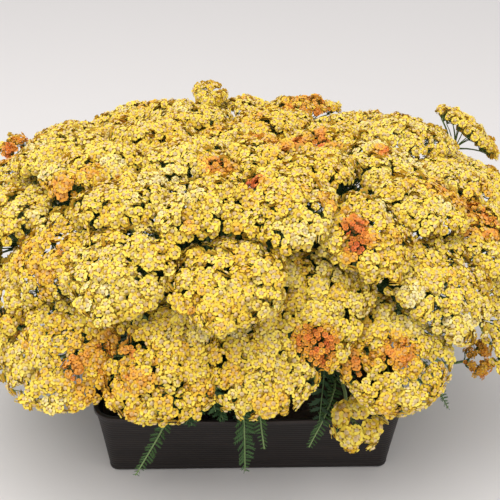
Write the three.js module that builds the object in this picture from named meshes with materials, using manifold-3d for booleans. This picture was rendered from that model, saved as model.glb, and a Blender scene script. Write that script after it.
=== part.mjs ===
// Potted terracotta yarrow: a black trough of soil, four plants with feathery leaves, and a dome of
// flower heads.
// Millimetres, +Z up, the viewer's side at -Y. The origin is the middle of the pot's underside.
import * as THREE from "three";
import { mergeVertices } from "three/addons/utils/BufferGeometryUtils.js";
import Module from "manifold-3d";

const wasm = await Module();
wasm.setup();

// Driving dimensions of the pot
const potHeight = 80;
const potRimWidth = 314;
const potRimDepth = 320;
const potTaper = 8.5; // how far each wall leans in, from the rim down to the foot band
const potWall = 3;
const potFloor = 3;
const potCorner = 20; // corner radius at the rim, seen from above
const leastCorner = 6; // corner radius where the wall is inset most
const cornerSteps = 3;
const sideSteps = 4;
const potBow = 9; // how far the long thin walls bulge at the rim
const footBand = 7; // height of the upright band round the base
const footChamfer = 1.5;
const lipHeight = 5;
const lipOut = 1.5;
const lipShoulder = 1; // height of the lip's sloping underside
const lipSlack = 0.3; // how much narrower the lip is there than at its top
const clearance = 0.35; // between pieces that touch

// Soil and the plants' crowns
const soilTop = 66;
const soilGap = 0.7; // between the soil and the bulging walls
const crownRadius = 14;
const crownDepth = 22; // how far a crown reaches into the soil
const crownRise = 8; // how far it stands out of it
const crownSides = 6;
const crownCutOver = 5; // how far the cutter for a crown's hole reaches over the soil
const crownColumns = 2;
const crownRows = 2;
const crownStepX = 130;
const crownStepY = 140;

// The dome that the flower heads cover
const domeHalfWidth = 290;
const domeHalfDepth = 214;
const domeBase = 128; // height of the dome's widest level
const domeRise = 182;
const domePlanPower = 2.7; // above 2 the plan is squarer than an ellipse
const domeSidePower = 3.1; // above 2 the top is flatter than an ellipse
const lowestTier = 0.35; // how far over the widest level the lowest heads sit, as a share of the rise
const seed = 3;
const leafSeed = 6;

// Flower heads
const domeHeadCount = 58;
const pairCount = 10; // heads that share a stem's fork with their nearest neighbour, in one piece
const pairOverlap = 8;
const headSpacing = 96; // heads nearer than this push each other apart
const strayRoom = 46; // room that a head away from the dome is given, over its own radius
const openRoom = 52; // room round an open place, over its own radius
const pushRounds = 120;
const headPush = 0.4; // share of a missing distance that two heads move apart in a round
const roomPush = 0.5; // the same for the room round strays and open places
const pushShare = 0.5; // share of its summed pushes that a head moves
const spiralTurnSpread = 0.2;
const spiralWiden = 1.3; // the spiral is widened in X
const spiralFlatten = 0.8; // and lowered
const headReach = 0.76; // a head's radius as a share of the way to its neighbours
const headReachSpread = 0.08;
const widestHead = 58;
const headDome = 0.24; // height of a head's top over its rim, as a share of its radius
const domeFall = 2.4; // power by which a head's top falls to its rim
const headWave = 1.6; // height of the slow waves on a head
const headUnder = 22; // depth of the underside's middle below the rim
const fullUnderRadius = 40; // on heads narrower than this the underside is shallower
const floretRings = 3;
const smallFloretRings = 2; // on heads narrower than smallHead
const smallHead = 30;
const floretRise = 0.36; // height of a floret as a share of its width
const floretRiseSpread = 0.3;
const headTilt = 0.16;
const headUpturn = 0.6; // how much more than the dome's surface the heads face upwards
const headLift = 10;
const nearHeads = 1.5; // heads are parted when they lie nearer than this many times their radii together
const leastSlope = 0.05; // a parting plane counts where a radius runs towards it by at least this
const keptShare = 0.8; // the most of the way to its neighbour that a stray head keeps

// Stems, branches and leaves
const stemRadius = 1.9;
const stemTaper = 0.2; // how much thicker the foot is and thinner the top, as a share
const stemSteps = 3;
const stemSides = 3;
const stemStraight = 34; // a stem's last stretch, straight into the head
const stemOut = 0.45; // a stem bends up where it has covered this share of the way sideways
const stemUp = 0.62; // and this share of the way up
const seatGap = 0.1; // between a stem's end and its head, over the clearance
const footShare = 0.6; // where a stem leaves its crown, as a share of the crown's radius
const plantShareX = 0.44; // heads over this share of the dome's width belong to the crowns at that side
const plantShareY = 0.62;
const leafThickness = 0.9;
const leafRib = 1.3; // half width of the stalk
const leafRibTaper = 0.4;
const leafPairs = 6; // leaflets on each side of a leaf
const stalkSteps = 3;
const leafletSlant = 0.65; // how far a leaflet leans forwards, as a share of its length
const leafletDroop = 0.12;
const leafletFirst = 0.15; // the outline is a piece of a sine arch, from this share of it
const leafletSpan = 0.78; // over this share
const leafletArch = 0.7; // raised to this power
const bladeLength = 88;
const leastStalk = 30;
const leafRootOut = 7; // distance of a leaf's root from the middle of its crown

// Heads that stand away from the dome: where, which way they face, how wide, and how their stems run
const strayHeads = [
  { name: "lone_head", at: [99, -200, 102], face: [0.05, -0.85, 0.53], radius: 27,
    via: [[90, -156, 116], [93, -175, 102]] },
  { name: "low_left_head", at: [-243, -88, 118], face: [-0.45, -0.72, 0.5], radius: 40,
    via: [[-162, -74, 96], [-214, -72, 92]] },
  { name: "left_orange_head", at: [-262, 62, 281], face: [-0.3, -0.3, 0.9], radius: 20,
    via: [[-236, 64, 226]] },
  { name: "top_small_head", at: [-42, 128, 322], face: [0.1, -0.2, 0.97], radius: 21,
    via: [[-40, 122, 282]] },
  { name: "right_side_head", at: [262, 100, 287], face: [0.6, 0.12, 0.79], radius: 43,
    via: [[222, 88, 214]] },
  { name: "right_bud_head", at: [250, -82, 92], face: [0.5, -0.6, 0.62], radius: 22,
    via: [[170, -90, 112], [222, -66, 74]] },
];

// Places where the dome is open and leaves show, with the radius kept free
const openPlaces = [
  { at: [104, -94, 306], radius: 15 },
  { at: [-187, -96, 280], radius: 8 },
  { at: [-10, -91, 308], radius: 6 },
  { at: [-77, -192, 240], radius: 5 },
  { at: [62, -208, 132], radius: 37 },
  { at: [204, -160, 202], radius: 7 },
  { at: [120, 140, 290], radius: 9 },
  { at: [-150, 200, 170], radius: 14 },
];

// Leaves that hang over the rim at the viewer's side: points along the midrib out to the tip, and the
// half width
const frontLeaves = [
  { via: [[-72, -146, 104], [-84, -173, 84]], tip: [-114, -192, 34], width: 15 },
  { via: [[-12, -148, 110], [-8, -175, 92]], tip: [-6, -186, 32], width: 15 },
  { via: [[14, -148, 104], [8, -172, 98]], tip: [12, -192, 66], width: 10 },
  { via: [[84, -146, 112], [74, -173, 98]], tip: [56, -188, 64], width: 12 },
];

// Leaves that hang over the rim at the sides and the back, evenly over three quarters of a turn
const outerLeafCount = 9;
const outerLeafStart = -0.25 * Math.PI;
const outerLeafSpan = 1.5 * Math.PI;
const outerLeafTurnSpread = 0.06;
const outerLeafWidth = 13;
// Distance from the rim, height and the spread of the height, over the rim, beyond it and at the tip
const outerLeafOver = { out: 2, height: 102, spread: 6 };
const outerLeafBeyond = { out: 34, height: 94, spread: 8 };
const outerLeafTip = { out: 62, height: 68, spread: 20 };
const outerLeafTipSpread = 14; // of the tip's distance from the rim

// Leaves that show in the dome's open places: which place, how far from its middle the tip lies, and
// the half width
const gapLeaves = [
  { place: 0, aside: [-12, 6], width: 9 },
  { place: 0, aside: [14, -4], width: 9 },
  { place: 1, aside: [0, 0], width: 8 },
  { place: 6, aside: [0, 0], width: 9 },
  { place: 7, aside: [0, 0], width: 10 },
];
const gapLeafDepth = 16; // how far under the dome their tips lie
const gapLeafRun = 0.7; // length of their straight upper stretch, as a share of the blade
const gapLeafSpread = 0.3; // how far aside they run there, as a share of the tips' distance

const colours = {
  pot: 0x2b2624,
  soil: 0x3a2a1e,
  green: 0x3f5a2c,
  yellow: 0xe6c95a,
  orange: 0xd9822f,
};

/** A seeded source of even draws from 0 to 1. */
function makeDraw(start) {
  let state = start >>> 0;
  return () => {
    state = (state + 0x6d2b79f5) >>> 0;
    let t = Math.imul(state ^ (state >>> 15), 1 | state);
    t = (t + Math.imul(t ^ (t >>> 7), 61 | t)) ^ t;
    return ((t ^ (t >>> 14)) >>> 0) / 4294967296;
  };
}
const draw = makeDraw(seed);
const leafDraw = makeDraw(leafSeed);
const spread = (amount, source = draw) => (source() * 2 - 1) * amount;
const vec = (list) => new THREE.Vector3(...list);

function geometryOf(points, faces) {
  const geometry = new THREE.BufferGeometry();
  geometry.setAttribute("position", new THREE.Float32BufferAttribute(points.flatMap((p) => p.toArray()), 3));
  geometry.setIndex(faces.flat());
  return geometry;
}

/** Closed skin over rings of equal length that turn anticlockwise, with a fan at each end. */
function loft(rings) {
  const n = rings[0].length;
  const points = rings.flat();
  const faces = [];
  for (let r = 0; r + 1 < rings.length; r++) {
    for (let i = 0; i < n; i++) {
      const a = r * n + i;
      const b = r * n + ((i + 1) % n);
      const rising = points[a].distanceTo(points[b + n]) < points[b].distanceTo(points[a + n]);
      faces.push(...(rising ? [[a, b, b + n], [a, b + n, a + n]] : [[a, b, a + n], [b, b + n, a + n]]));
    }
  }
  for (const [ring, flip] of [[0, true], [rings.length - 1, false]]) {
    if (n === 3) {
      const [a, b, c] = [ring * n, ring * n + 1, ring * n + 2];
      faces.push(flip ? [c, b, a] : [a, b, c]);
      continue;
    }
    const middle = new THREE.Vector3();
    rings[ring].forEach((p) => middle.addScaledVector(p, 1 / n));
    const centre = points.push(middle) - 1;
    for (let i = 0; i < n; i++) {
      const a = ring * n + i;
      const b = ring * n + ((i + 1) % n);
      faces.push(flip ? [b, a, centre] : [a, b, centre]);
    }
  }
  return geometryOf(points, faces);
}

/** A level section of the pot: a rounded rectangle whose sides bulge by bow. */
function potSection(z, inset, bow) {
  const halfX = potRimWidth / 2 - inset;
  const halfY = potRimDepth / 2 - inset;
  const radius = Math.max(potCorner - inset, leastCorner);
  const ring = [];
  const bulge = (x, y) => {
    const alongX = Math.max(1 - (x / halfX) ** 2, 0);
    const alongY = Math.max(1 - (y / halfY) ** 2, 0);
    return new THREE.Vector3(x + Math.sign(x) * bow * alongY, y + Math.sign(y) * bow * alongX, z);
  };
  const corners = [[1, -1, -90], [1, 1, 0], [-1, 1, 90], [-1, -1, 180]];
  corners.forEach(([sx, sy, start], c) => {
    for (let i = 0; i <= cornerSteps; i++) {
      const angle = THREE.MathUtils.degToRad(start + (90 * i) / cornerSteps);
      const x = sx * (halfX - radius) + radius * Math.cos(angle);
      const y = sy * (halfY - radius) + radius * Math.sin(angle);
      ring.push(bulge(x, y));
    }
    const [nx, ny, next] = corners[(c + 1) % corners.length];
    const last = THREE.MathUtils.degToRad(start + 90);
    const first = THREE.MathUtils.degToRad(next);
    const arcEnd = (cornerX, cornerY, angle) => new THREE.Vector2(
      cornerX * (halfX - radius) + radius * Math.cos(angle),
      cornerY * (halfY - radius) + radius * Math.sin(angle),
    );
    const from = arcEnd(sx, sy, last);
    const to = arcEnd(nx, ny, first);
    for (let i = 1; i < sideSteps; i++) {
      const along = from.clone().lerp(to, i / sideSteps);
      ring.push(bulge(along.x, along.y));
    }
  });
  return ring;
}

/** How far a wall's outside has leaned in at height z. */
const leanAt = (z) => lipOut + potTaper * (1 - Math.max(z - footBand, 0) / (potHeight - footBand));
const bowAt = (z) => potBow * (z / potHeight) ** 2;

function makePot() {
  const outer = [
    [0, leanAt(0) + footChamfer],
    [footChamfer, leanAt(0)],
    [footBand, leanAt(footBand)],
    [potHeight * 0.5, leanAt(potHeight * 0.5)],
    [potHeight - lipHeight, leanAt(potHeight - lipHeight)],
    [potHeight - lipHeight + lipShoulder, lipSlack],
    [potHeight, 0],
  ];
  const inner = [potHeight, soilTop, potHeight * 0.5, potFloor].map((z) => [z, leanAt(z) + potWall]);
  return loft([...outer, ...inner].map(([z, inset]) => potSection(z, inset, bowAt(z))));
}

/** Turns a closed geometry into a solid for joining and cutting. */
function solidOf(geometry) {
  const plain = geometry.clone();
  plain.deleteAttribute("normal");
  plain.deleteAttribute("uv");
  const merged = mergeVertices(plain, 1e-4);
  return new wasm.Manifold(new wasm.Mesh({
    numProp: 3,
    vertProperties: new Float32Array(merged.attributes.position.array),
    triVerts: new Uint32Array(merged.index.array),
  }));
}

function geometryOfSolid(solid) {
  const mesh = solid.getMesh();
  const geometry = new THREE.BufferGeometry();
  geometry.setAttribute("position", new THREE.BufferAttribute(new Float32Array(mesh.vertProperties), 3));
  geometry.setIndex(new THREE.BufferAttribute(new Uint32Array(mesh.triVerts), 1));
  return geometry;
}

const crownPlaces = [];
for (let row = 0; row < crownRows; row++) {
  for (let column = 0; column < crownColumns; column++) {
    crownPlaces.push(new THREE.Vector3(
      (column - (crownColumns - 1) / 2) * crownStepX,
      (row - (crownRows - 1) / 2) * crownStepY,
      soilTop,
    ));
  }
}

/** An upright crown, or the cutter for its hole, from one height to another. */
function upright(place, radius, low, high) {
  const cylinder = new THREE.CylinderGeometry(radius, radius, high - low, crownSides);
  cylinder.rotateX(Math.PI / 2);
  cylinder.translate(place.x, place.y, (low + high) / 2);
  return cylinder;
}

function makeSoil() {
  const levels = [potFloor + clearance, potHeight * 0.5, soilTop];
  const body = loft(levels.map((z) => potSection(z, leanAt(z) + potWall + soilGap, bowAt(z))));
  let soil = solidOf(body);
  for (const place of crownPlaces) {
    const bottom = soilTop - crownDepth - clearance;
    soil = soil.subtract(solidOf(upright(place, crownRadius + clearance, bottom, soilTop + crownCutOver)));
  }
  return geometryOfSolid(soil);
}

/** A stem as a tapered tube along a curve. */
function stemTube(curve) {
  const frames = curve.computeFrenetFrames(stemSteps, false);
  const rings = [];
  for (let s = 0; s <= stemSteps; s++) {
    const t = s / stemSteps;
    const centre = curve.getPointAt(t);
    const r = stemRadius * THREE.MathUtils.lerp(1 + stemTaper, 1 - stemTaper, t);
    const ring = [];
    for (let i = 0; i < stemSides; i++) {
      const angle = (2 * Math.PI * i) / stemSides;
      ring.push(centre.clone()
        .addScaledVector(frames.normals[s], r * Math.cos(angle))
        .addScaledVector(frames.binormals[s], r * Math.sin(angle)));
    }
    rings.push(ring);
  }
  return loft(rings);
}

/** Where a ray from the dome's middle meets it. */
function onDome(direction) {
  const d = direction.clone().normalize();
  const across = Math.abs(d.x / domeHalfWidth) ** domePlanPower;
  const back = Math.abs(d.y / domeHalfDepth) ** domePlanPower;
  const plan = across + back;
  const side = Math.abs(d.z / domeRise) ** domeSidePower;
  const reach = (plan ** (domeSidePower / domePlanPower) + side) ** (-1 / domeSidePower);
  return d.multiplyScalar(reach).add(new THREE.Vector3(0, 0, domeBase));
}

/** The dome's outward direction there, from three nearby points. */
function domeNormal(point) {
  const d = point.clone().sub(new THREE.Vector3(0, 0, domeBase)).normalize();
  const helper = Math.abs(d.z) < 0.9 ? new THREE.Vector3(0, 0, 1) : new THREE.Vector3(1, 0, 0);
  const u = new THREE.Vector3().crossVectors(helper, d).normalize();
  const v = new THREE.Vector3().crossVectors(d, u);
  const step = 0.02;
  const a = onDome(d.clone().addScaledVector(u, step)).sub(onDome(d.clone().addScaledVector(u, -step)));
  const b = onDome(d.clone().addScaledVector(v, step)).sub(onDome(d.clone().addScaledVector(v, -step)));
  return a.cross(b).normalize();
}

/** Spreads the heads evenly over the dome, by a spiral and then by letting them push each other apart. */
function placeHeads() {
  const golden = Math.PI * (3 - Math.sqrt(5));
  const fixed = [
    ...strayHeads.map((stray) => ({ at: vec(stray.at), room: stray.radius + strayRoom })),
    ...openPlaces.map((open) => ({ at: vec(open.at), room: open.radius + openRoom })),
  ];
  let places = [];
  for (let i = 0; i < domeHeadCount; i++) {
    const up = lowestTier + (1 - lowestTier) * ((i + 0.5) / domeHeadCount);
    const turn = golden * i + spread(spiralTurnSpread);
    const flat = Math.sqrt(Math.max(1 - up * up, 0));
    const x = flat * Math.cos(turn) * spiralWiden;
    places.push(onDome(new THREE.Vector3(x, flat * Math.sin(turn), up * spiralFlatten)));
  }
  for (let round = 0; round < pushRounds; round++) {
    places = places.map((p, i) => {
      const move = new THREE.Vector3();
      places.forEach((q, j) => {
        const gap = p.distanceTo(q);
        if (i !== j && gap < headSpacing) {
          move.addScaledVector(p.clone().sub(q), (headPush * (headSpacing - gap)) / gap);
        }
      });
      fixed.forEach((f) => {
        const gap = p.distanceTo(f.at);
        if (gap < f.room) {
          move.addScaledVector(p.clone().sub(f.at), (roomPush * (f.room - gap)) / gap);
        }
      });
      const d = p.clone().add(move.multiplyScalar(pushShare)).sub(new THREE.Vector3(0, 0, domeBase));
      d.z = Math.max(d.z, lowestTier * domeRise);
      return onDome(d);
    });
  }
  return places;
}

/** Joins some heads with their nearest free neighbour, evenly over the dome, and levels each pair. */
function pairUp() {
  const stride = Math.ceil(heads.length / pairCount);
  for (let i = 2; i < heads.length; i += stride) {
    const head = heads.slice(i).find((h) => !h.partner);
    const free = heads.filter((h) => h !== head && !h.partner);
    free.sort((a, b) => a.at.distanceTo(head.at) - b.at.distanceTo(head.at));
    const partner = free[0];
    head.partner = partner;
    partner.partner = head;
    const face = head.face.clone().add(partner.face).normalize();
    const step = partner.at.clone().sub(head.at).dot(face);
    head.at.addScaledVector(face, step / 2);
    partner.at.addScaledVector(face, -step / 2);
    head.face = face;
    partner.face = face;
  }
}

const heads = placeHeads().map((place) => {
  const face = domeNormal(place);
  face.add(new THREE.Vector3(spread(headTilt), spread(headTilt), spread(headTilt) + headUpturn)).normalize();
  const at = place.clone().addScaledVector(face, spread(headLift));
  return { at, face, via: null, name: null, partner: null, radius: 0 };
});
for (const head of heads) {
  const gaps = heads.filter((h) => h !== head).map((h) => h.at.distanceTo(head.at)).sort((a, b) => a - b);
  const around = (gaps[0] + gaps[1] + gaps[2] + gaps[3]) / 4;
  head.radius = Math.min(headReach * around, widestHead) * (1 + spread(headReachSpread));
}
heads.sort((a, b) => a.at.z - b.at.z);
pairUp();
let headNumber = 0;
for (const head of heads) {
  if (!head.name) {
    headNumber += 1;
    head.name = `flower_head_${String(headNumber).padStart(2, "0")}`;
    if (head.partner) {
      head.partner.name = head.name;
    }
  }
}
for (const stray of strayHeads) {
  const face = vec(stray.face).normalize();
  heads.push({ at: vec(stray.at), face, via: stray.via.map(vec), name: stray.name, radius: stray.radius });
}
for (const head of heads) {
  const helper = Math.abs(head.face.x) < 0.8 ? new THREE.Vector3(1, 0, 0) : new THREE.Vector3(0, 1, 0);
  head.u = helper.clone().addScaledVector(head.face, -helper.dot(head.face)).normalize();
  head.v = new THREE.Vector3().crossVectors(head.face, head.u);
  head.turn = draw() * Math.PI;
  head.under = headUnder * Math.min(1, head.radius / fullUnderRadius);
  head.wave = Array.from({ length: 3 }, () => draw() * 2 * Math.PI);
}

/** How far a head reaches towards another: by their sizes, but one away from the dome stays round. */
function partingReach(head, other, gap) {
  if (Boolean(head.via) === Boolean(other.via)) {
    return (gap * head.radius) / (head.radius + other.radius);
  }
  const stray = head.via ? head : other;
  const kept = Math.min(stray.radius + 1, gap * keptShare);
  return head.via ? kept : gap - kept;
}

/** The planes that part a head from its neighbours and from the open places. */
function partingPlanes(head) {
  const planes = [];
  for (const other of heads) {
    const away = other.at.clone().sub(head.at);
    const gap = away.length();
    if (other === head || gap > (head.radius + other.radius) * nearHeads) {
      continue;
    }
    const normal = away.divideScalar(gap);
    const parting = head.partner === other ? -pairOverlap : clearance / 2;
    planes.push({ normal, reach: partingReach(head, other, gap) - parting });
  }
  for (const open of head.via ? [] : openPlaces) {
    const away = vec(open.at).sub(head.at);
    const gap = away.length();
    planes.push({ normal: away.divideScalar(gap), reach: gap - open.radius });
  }
  return planes;
}

/** A point of a head by radius, angle and height over the rim plane, kept inside the parting planes. */
function headPoint(head, planes, r, angle, z) {
  const out = head.u.clone().multiplyScalar(Math.cos(angle)).addScaledVector(head.v, Math.sin(angle));
  let full = head.radius;
  for (const plane of planes) {
    const slope = plane.normal.dot(out);
    if (slope > leastSlope) {
      full = Math.min(full, (plane.reach - z * plane.normal.dot(head.face)) / slope);
    }
  }
  return head.at.clone().addScaledVector(out, r * full).addScaledVector(head.face, z);
}

/** Height of a head's top at a share of the radius: a low dome with slow waves. */
function topHeight(head, r, angle) {
  const [a, b, c] = head.wave;
  const wave = Math.sin(2 * angle + a) * 0.5 + Math.sin(3 * angle + b) * 0.5 + Math.sin(7 * r + c) * 0.4;
  return head.radius * headDome * (1 - r ** domeFall) + headWave * wave * (1 - r ** 4);
}

/** One flower head: a low dome of florets in relief over a shallow cone. */
function makeHead(head) {
  const planes = partingPlanes(head);
  const rings = head.radius < smallHead ? smallFloretRings : floretRings;
  const points = [];
  const ringStart = [];
  const place = (ring, j) => {
    const count = Math.max(6 * ring, 1);
    return { r: ring / rings, angle: head.turn + (2 * Math.PI * j) / count };
  };
  for (let ring = 0; ring <= rings; ring++) {
    ringStart.push(points.length);
    for (let j = 0; j < Math.max(6 * ring, 1); j++) {
      const { r, angle } = place(ring, j);
      const z = ring === rings ? 0 : topHeight(head, r, angle);
      points.push({ r, angle, z, at: headPoint(head, planes, r, angle, z) });
    }
  }
  const faces = [];
  const addFloret = (a, b, c) => {
    const middle = new THREE.Vector3();
    [a, b, c].forEach((k) => middle.addScaledVector(points[k].at, 1 / 3));
    const width = points[a].at.distanceTo(points[b].at);
    middle.addScaledVector(head.face, floretRise * width * (1 + spread(floretRiseSpread)));
    const peak = points.push({ at: middle }) - 1;
    faces.push([a, b, peak], [b, c, peak], [c, a, peak]);
  };
  for (let ring = 1; ring <= rings; ring++) {
    const outerCount = 6 * ring;
    const innerCount = Math.max(6 * (ring - 1), 1);
    for (let side = 0; side < 6; side++) {
      for (let k = 0; k < ring; k++) {
        const outerA = ringStart[ring] + ((side * ring + k) % outerCount);
        const outerB = ringStart[ring] + ((side * ring + k + 1) % outerCount);
        const innerA = ringStart[ring - 1] + ((side * (ring - 1) + k) % innerCount);
        addFloret(outerA, outerB, innerA);
        if (k < ring - 1) {
          const innerB = ringStart[ring - 1] + ((side * (ring - 1) + k + 1) % innerCount);
          addFloret(innerA, outerB, innerB);
        }
      }
    }
  }
  const apex = points.push({ at: head.at.clone().addScaledVector(head.face, -head.under) }) - 1;
  const rimCount = 6 * rings;
  for (let j = 0; j < rimCount; j++) {
    faces.push([ringStart[rings] + ((j + 1) % rimCount), ringStart[rings] + j, apex]);
  }
  return geometryOf(points.map((p) => p.at), faces);
}

/** The stem of a head, from its plant's crown to just under the head. */
function stemCurve(head, crown) {
  const seat = head.at.clone().addScaledVector(head.face, -head.under - clearance - seatGap);
  const below = head.at.clone().addScaledVector(head.face, -head.under - stemStraight);
  const foot = crown.clone().add(new THREE.Vector3(head.foot.x, head.foot.y, crownRise * 0.5));
  if (head.via) {
    return new THREE.CatmullRomCurve3([foot, ...head.via, seat]);
  }
  const rise = foot.clone().lerp(below, stemOut);
  rise.z = THREE.MathUtils.lerp(foot.z, below.z, stemUp);
  return new THREE.CatmullRomCurve3([foot, rise, below, seat]);
}

/** A feathery leaf: leaflets cut to the midrib in one thin blade along the curve, on a bare flat stalk. */
function makeLeaf(curve, halfWidth, bareLength) {
  const bare = bareLength / curve.getLength();
  const start = curve.getPointAt(0);
  const end = curve.getPointAt(1);
  const side = new THREE.Vector3(end.y - start.y, start.x - end.x, 0).normalize();
  const shares = [];
  for (let s = 0; s < stalkSteps; s++) {
    shares.push((bare * s) / stalkSteps);
  }
  for (let s = 0; s <= leafPairs; s++) {
    shares.push(bare + ((1 - bare) * s) / leafPairs);
  }
  const rows = shares.map((t) => {
    const along = curve.getTangentAt(t);
    const over = new THREE.Vector3().crossVectors(side, along).normalize();
    return { centre: curve.getPointAt(t), along, over };
  });
  const points = [];
  const put = (row, sideways, forwards, height) => points.push(row.centre.clone()
    .addScaledVector(side, sideways)
    .addScaledVector(row.along, forwards)
    .addScaledVector(row.over, height)) - 1;
  const half = leafThickness / 2;
  const rib = rows.map((row, s) => {
    const narrow = leafRib * (1 - (leafRibTaper * s) / rows.length);
    return {
      leftTop: put(row, -narrow, 0, half),
      rightTop: put(row, narrow, 0, half),
      leftLow: put(row, -narrow, 0, -half),
      rightLow: put(row, narrow, 0, -half),
    };
  });
  const faces = [];
  for (let s = 0; s + 1 < rows.length; s++) {
    const a = rib[s];
    const b = rib[s + 1];
    faces.push([a.leftTop, a.rightTop, b.rightTop], [a.leftTop, b.rightTop, b.leftTop]);
    faces.push([a.leftLow, b.rightLow, a.rightLow], [a.leftLow, b.leftLow, b.rightLow]);
    if (s < stalkSteps) {
      faces.push([a.leftTop, b.leftTop, b.leftLow], [a.leftTop, b.leftLow, a.leftLow]);
      faces.push([a.rightTop, b.rightLow, b.rightTop], [a.rightTop, a.rightLow, b.rightLow]);
      continue;
    }
    const share = (s - stalkSteps + 0.5) / leafPairs;
    const width = halfWidth * Math.sin(Math.PI * (leafletFirst + leafletSpan * share)) ** leafletArch;
    const forwards = width * leafletSlant;
    const droop = -width * leafletDroop;
    const left = [put(rows[s], -width, forwards, droop + half), put(rows[s], -width, forwards, droop - half)];
    const right = [put(rows[s], width, forwards, droop + half), put(rows[s], width, forwards, droop - half)];
    faces.push([a.leftTop, b.leftTop, left[0]], [a.leftLow, left[1], b.leftLow]);
    faces.push([a.leftTop, left[0], left[1]], [a.leftTop, left[1], a.leftLow]);
    faces.push([left[0], b.leftTop, b.leftLow], [left[0], b.leftLow, left[1]]);
    faces.push([a.rightTop, right[0], b.rightTop], [a.rightLow, b.rightLow, right[1]]);
    faces.push([a.rightTop, right[1], right[0]], [a.rightTop, a.rightLow, right[1]]);
    faces.push([right[0], b.rightLow, b.rightTop], [right[0], right[1], b.rightLow]);
  }
  const first = rib[0];
  const last = rib[rows.length - 1];
  faces.push([first.leftTop, first.rightLow, first.rightTop], [first.leftTop, first.leftLow, first.rightLow]);
  faces.push([last.leftTop, last.rightTop, last.rightLow], [last.leftTop, last.rightLow, last.leftLow]);
  return geometryOf(points, faces);
}

function nearestCrown(point) {
  let best = 0;
  crownPlaces.forEach((place, i) => {
    const reach = (p) => Math.hypot(point.x * plantShareX - p.x, point.y * plantShareY - p.y);
    if (reach(place) < reach(crownPlaces[best])) {
      best = i;
    }
  });
  return best;
}

const plants = crownPlaces.map(() => []);

function addStems() {
  for (const head of heads) {
    const index = nearestCrown(head.at);
    const crown = crownPlaces[index];
    const bearing = Math.atan2(head.at.y - crown.y, head.at.x - crown.x);
    const out = crownRadius * footShare;
    head.foot = { x: Math.cos(bearing) * out, y: Math.sin(bearing) * out };
    plants[index].push(stemTube(stemCurve(head, crown)));
  }
}

/** Adds a leaf to the plant whose crown it grows from. */
function addLeaf(index, via, tip, width) {
  const crown = crownPlaces[index];
  const bearing = Math.atan2(tip.y - crown.y, tip.x - crown.x);
  const root = crown.clone().add(new THREE.Vector3(
    Math.cos(bearing) * leafRootOut,
    Math.sin(bearing) * leafRootOut,
    crownRise * 0.5,
  ));
  const curve = new THREE.CatmullRomCurve3([root, ...via, tip]);
  plants[index].push(makeLeaf(curve, width, Math.max(curve.getLength() - bladeLength, leastStalk)));
}

function addLeaves() {
  for (const leaf of frontLeaves) {
    addLeaf(nearestCrown(vec(leaf.tip)), leaf.via.map(vec), vec(leaf.tip), leaf.width);
  }
  for (let i = 0; i < outerLeafCount; i++) {
    const along = (i + 0.5) / outerLeafCount;
    const turn = outerLeafStart + outerLeafSpan * along + spread(outerLeafTurnSpread, leafDraw);
    const out = new THREE.Vector3(Math.cos(turn), Math.sin(turn), 0);
    const edge = 1 / Math.max(Math.abs(out.x) / (potRimWidth / 2), Math.abs(out.y) / (potRimDepth / 2));
    const [over, beyond, tip] = [outerLeafOver, outerLeafBeyond, outerLeafTip].map((stop) => {
      const height = stop.height + spread(stop.spread, leafDraw);
      return out.clone().multiplyScalar(edge + stop.out).setZ(height);
    });
    tip.addScaledVector(out, spread(outerLeafTipSpread, leafDraw));
    addLeaf(nearestCrown(tip), [over, beyond], tip, outerLeafWidth);
  }
  for (const leaf of gapLeaves) {
    const place = vec(openPlaces[leaf.place].at);
    const inwards = domeNormal(place).negate();
    const aside = new THREE.Vector3(...leaf.aside, 0);
    const tip = place.clone().addScaledVector(inwards, gapLeafDepth).add(aside);
    const below = place.clone().addScaledVector(inwards, gapLeafDepth + bladeLength * gapLeafRun);
    below.addScaledVector(aside, gapLeafSpread);
    addLeaf(nearestCrown(place), [below], tip, leaf.width);
  }
}

/** Joins a plant's stems, leaves and crown in one solid. */
function makePlant(index) {
  const place = crownPlaces[index];
  let plant = solidOf(upright(place, crownRadius, soilTop - crownDepth, soilTop + crownRise));
  for (const piece of plants[index]) {
    plant = plant.add(solidOf(piece));
  }
  const bodies = plant.decompose();
  bodies.sort((a, b) => b.volume() - a.volume());
  return geometryOfSolid(bodies[0]);
}

const yarrow = new THREE.Group();

function addPiece(name, geometry, color, roughness) {
  const mesh = new THREE.Mesh(geometry, new THREE.MeshStandardMaterial({ color, roughness, metalness: 0 }));
  mesh.name = name;
  yarrow.add(mesh);
}

addPiece("pot", makePot(), colours.pot, 0.45);
addPiece("soil", makeSoil(), colours.soil, 0.95);
const orangeHeads = new Set(["left_orange_head", "right_bud_head"]);
const made = new Set();
for (const head of heads) {
  if (made.has(head.name)) {
    continue;
  }
  made.add(head.name);
  const color = orangeHeads.has(head.name) ? colours.orange : colours.yellow;
  const shape = head.partner
    ? geometryOfSolid(solidOf(makeHead(head)).add(solidOf(makeHead(head.partner))))
    : makeHead(head);
  addPiece(head.name, shape, color, 0.85);
}
addStems();
addLeaves();
crownPlaces.forEach((place, i) => {
  addPiece(`plant_${i + 1}`, makePlant(i), colours.green, 0.7);
});

export default yarrow;
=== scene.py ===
"""Potted terracotta yarrow: flower heads, plants, soil and trough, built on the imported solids.

Lengths are in millimetres, as in the part's source, and make_piece() turns them into metres.
"""
import math

import bpy
import numpy as np
from mathutils import Matrix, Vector
from mathutils.bvhtree import BVHTree


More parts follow.
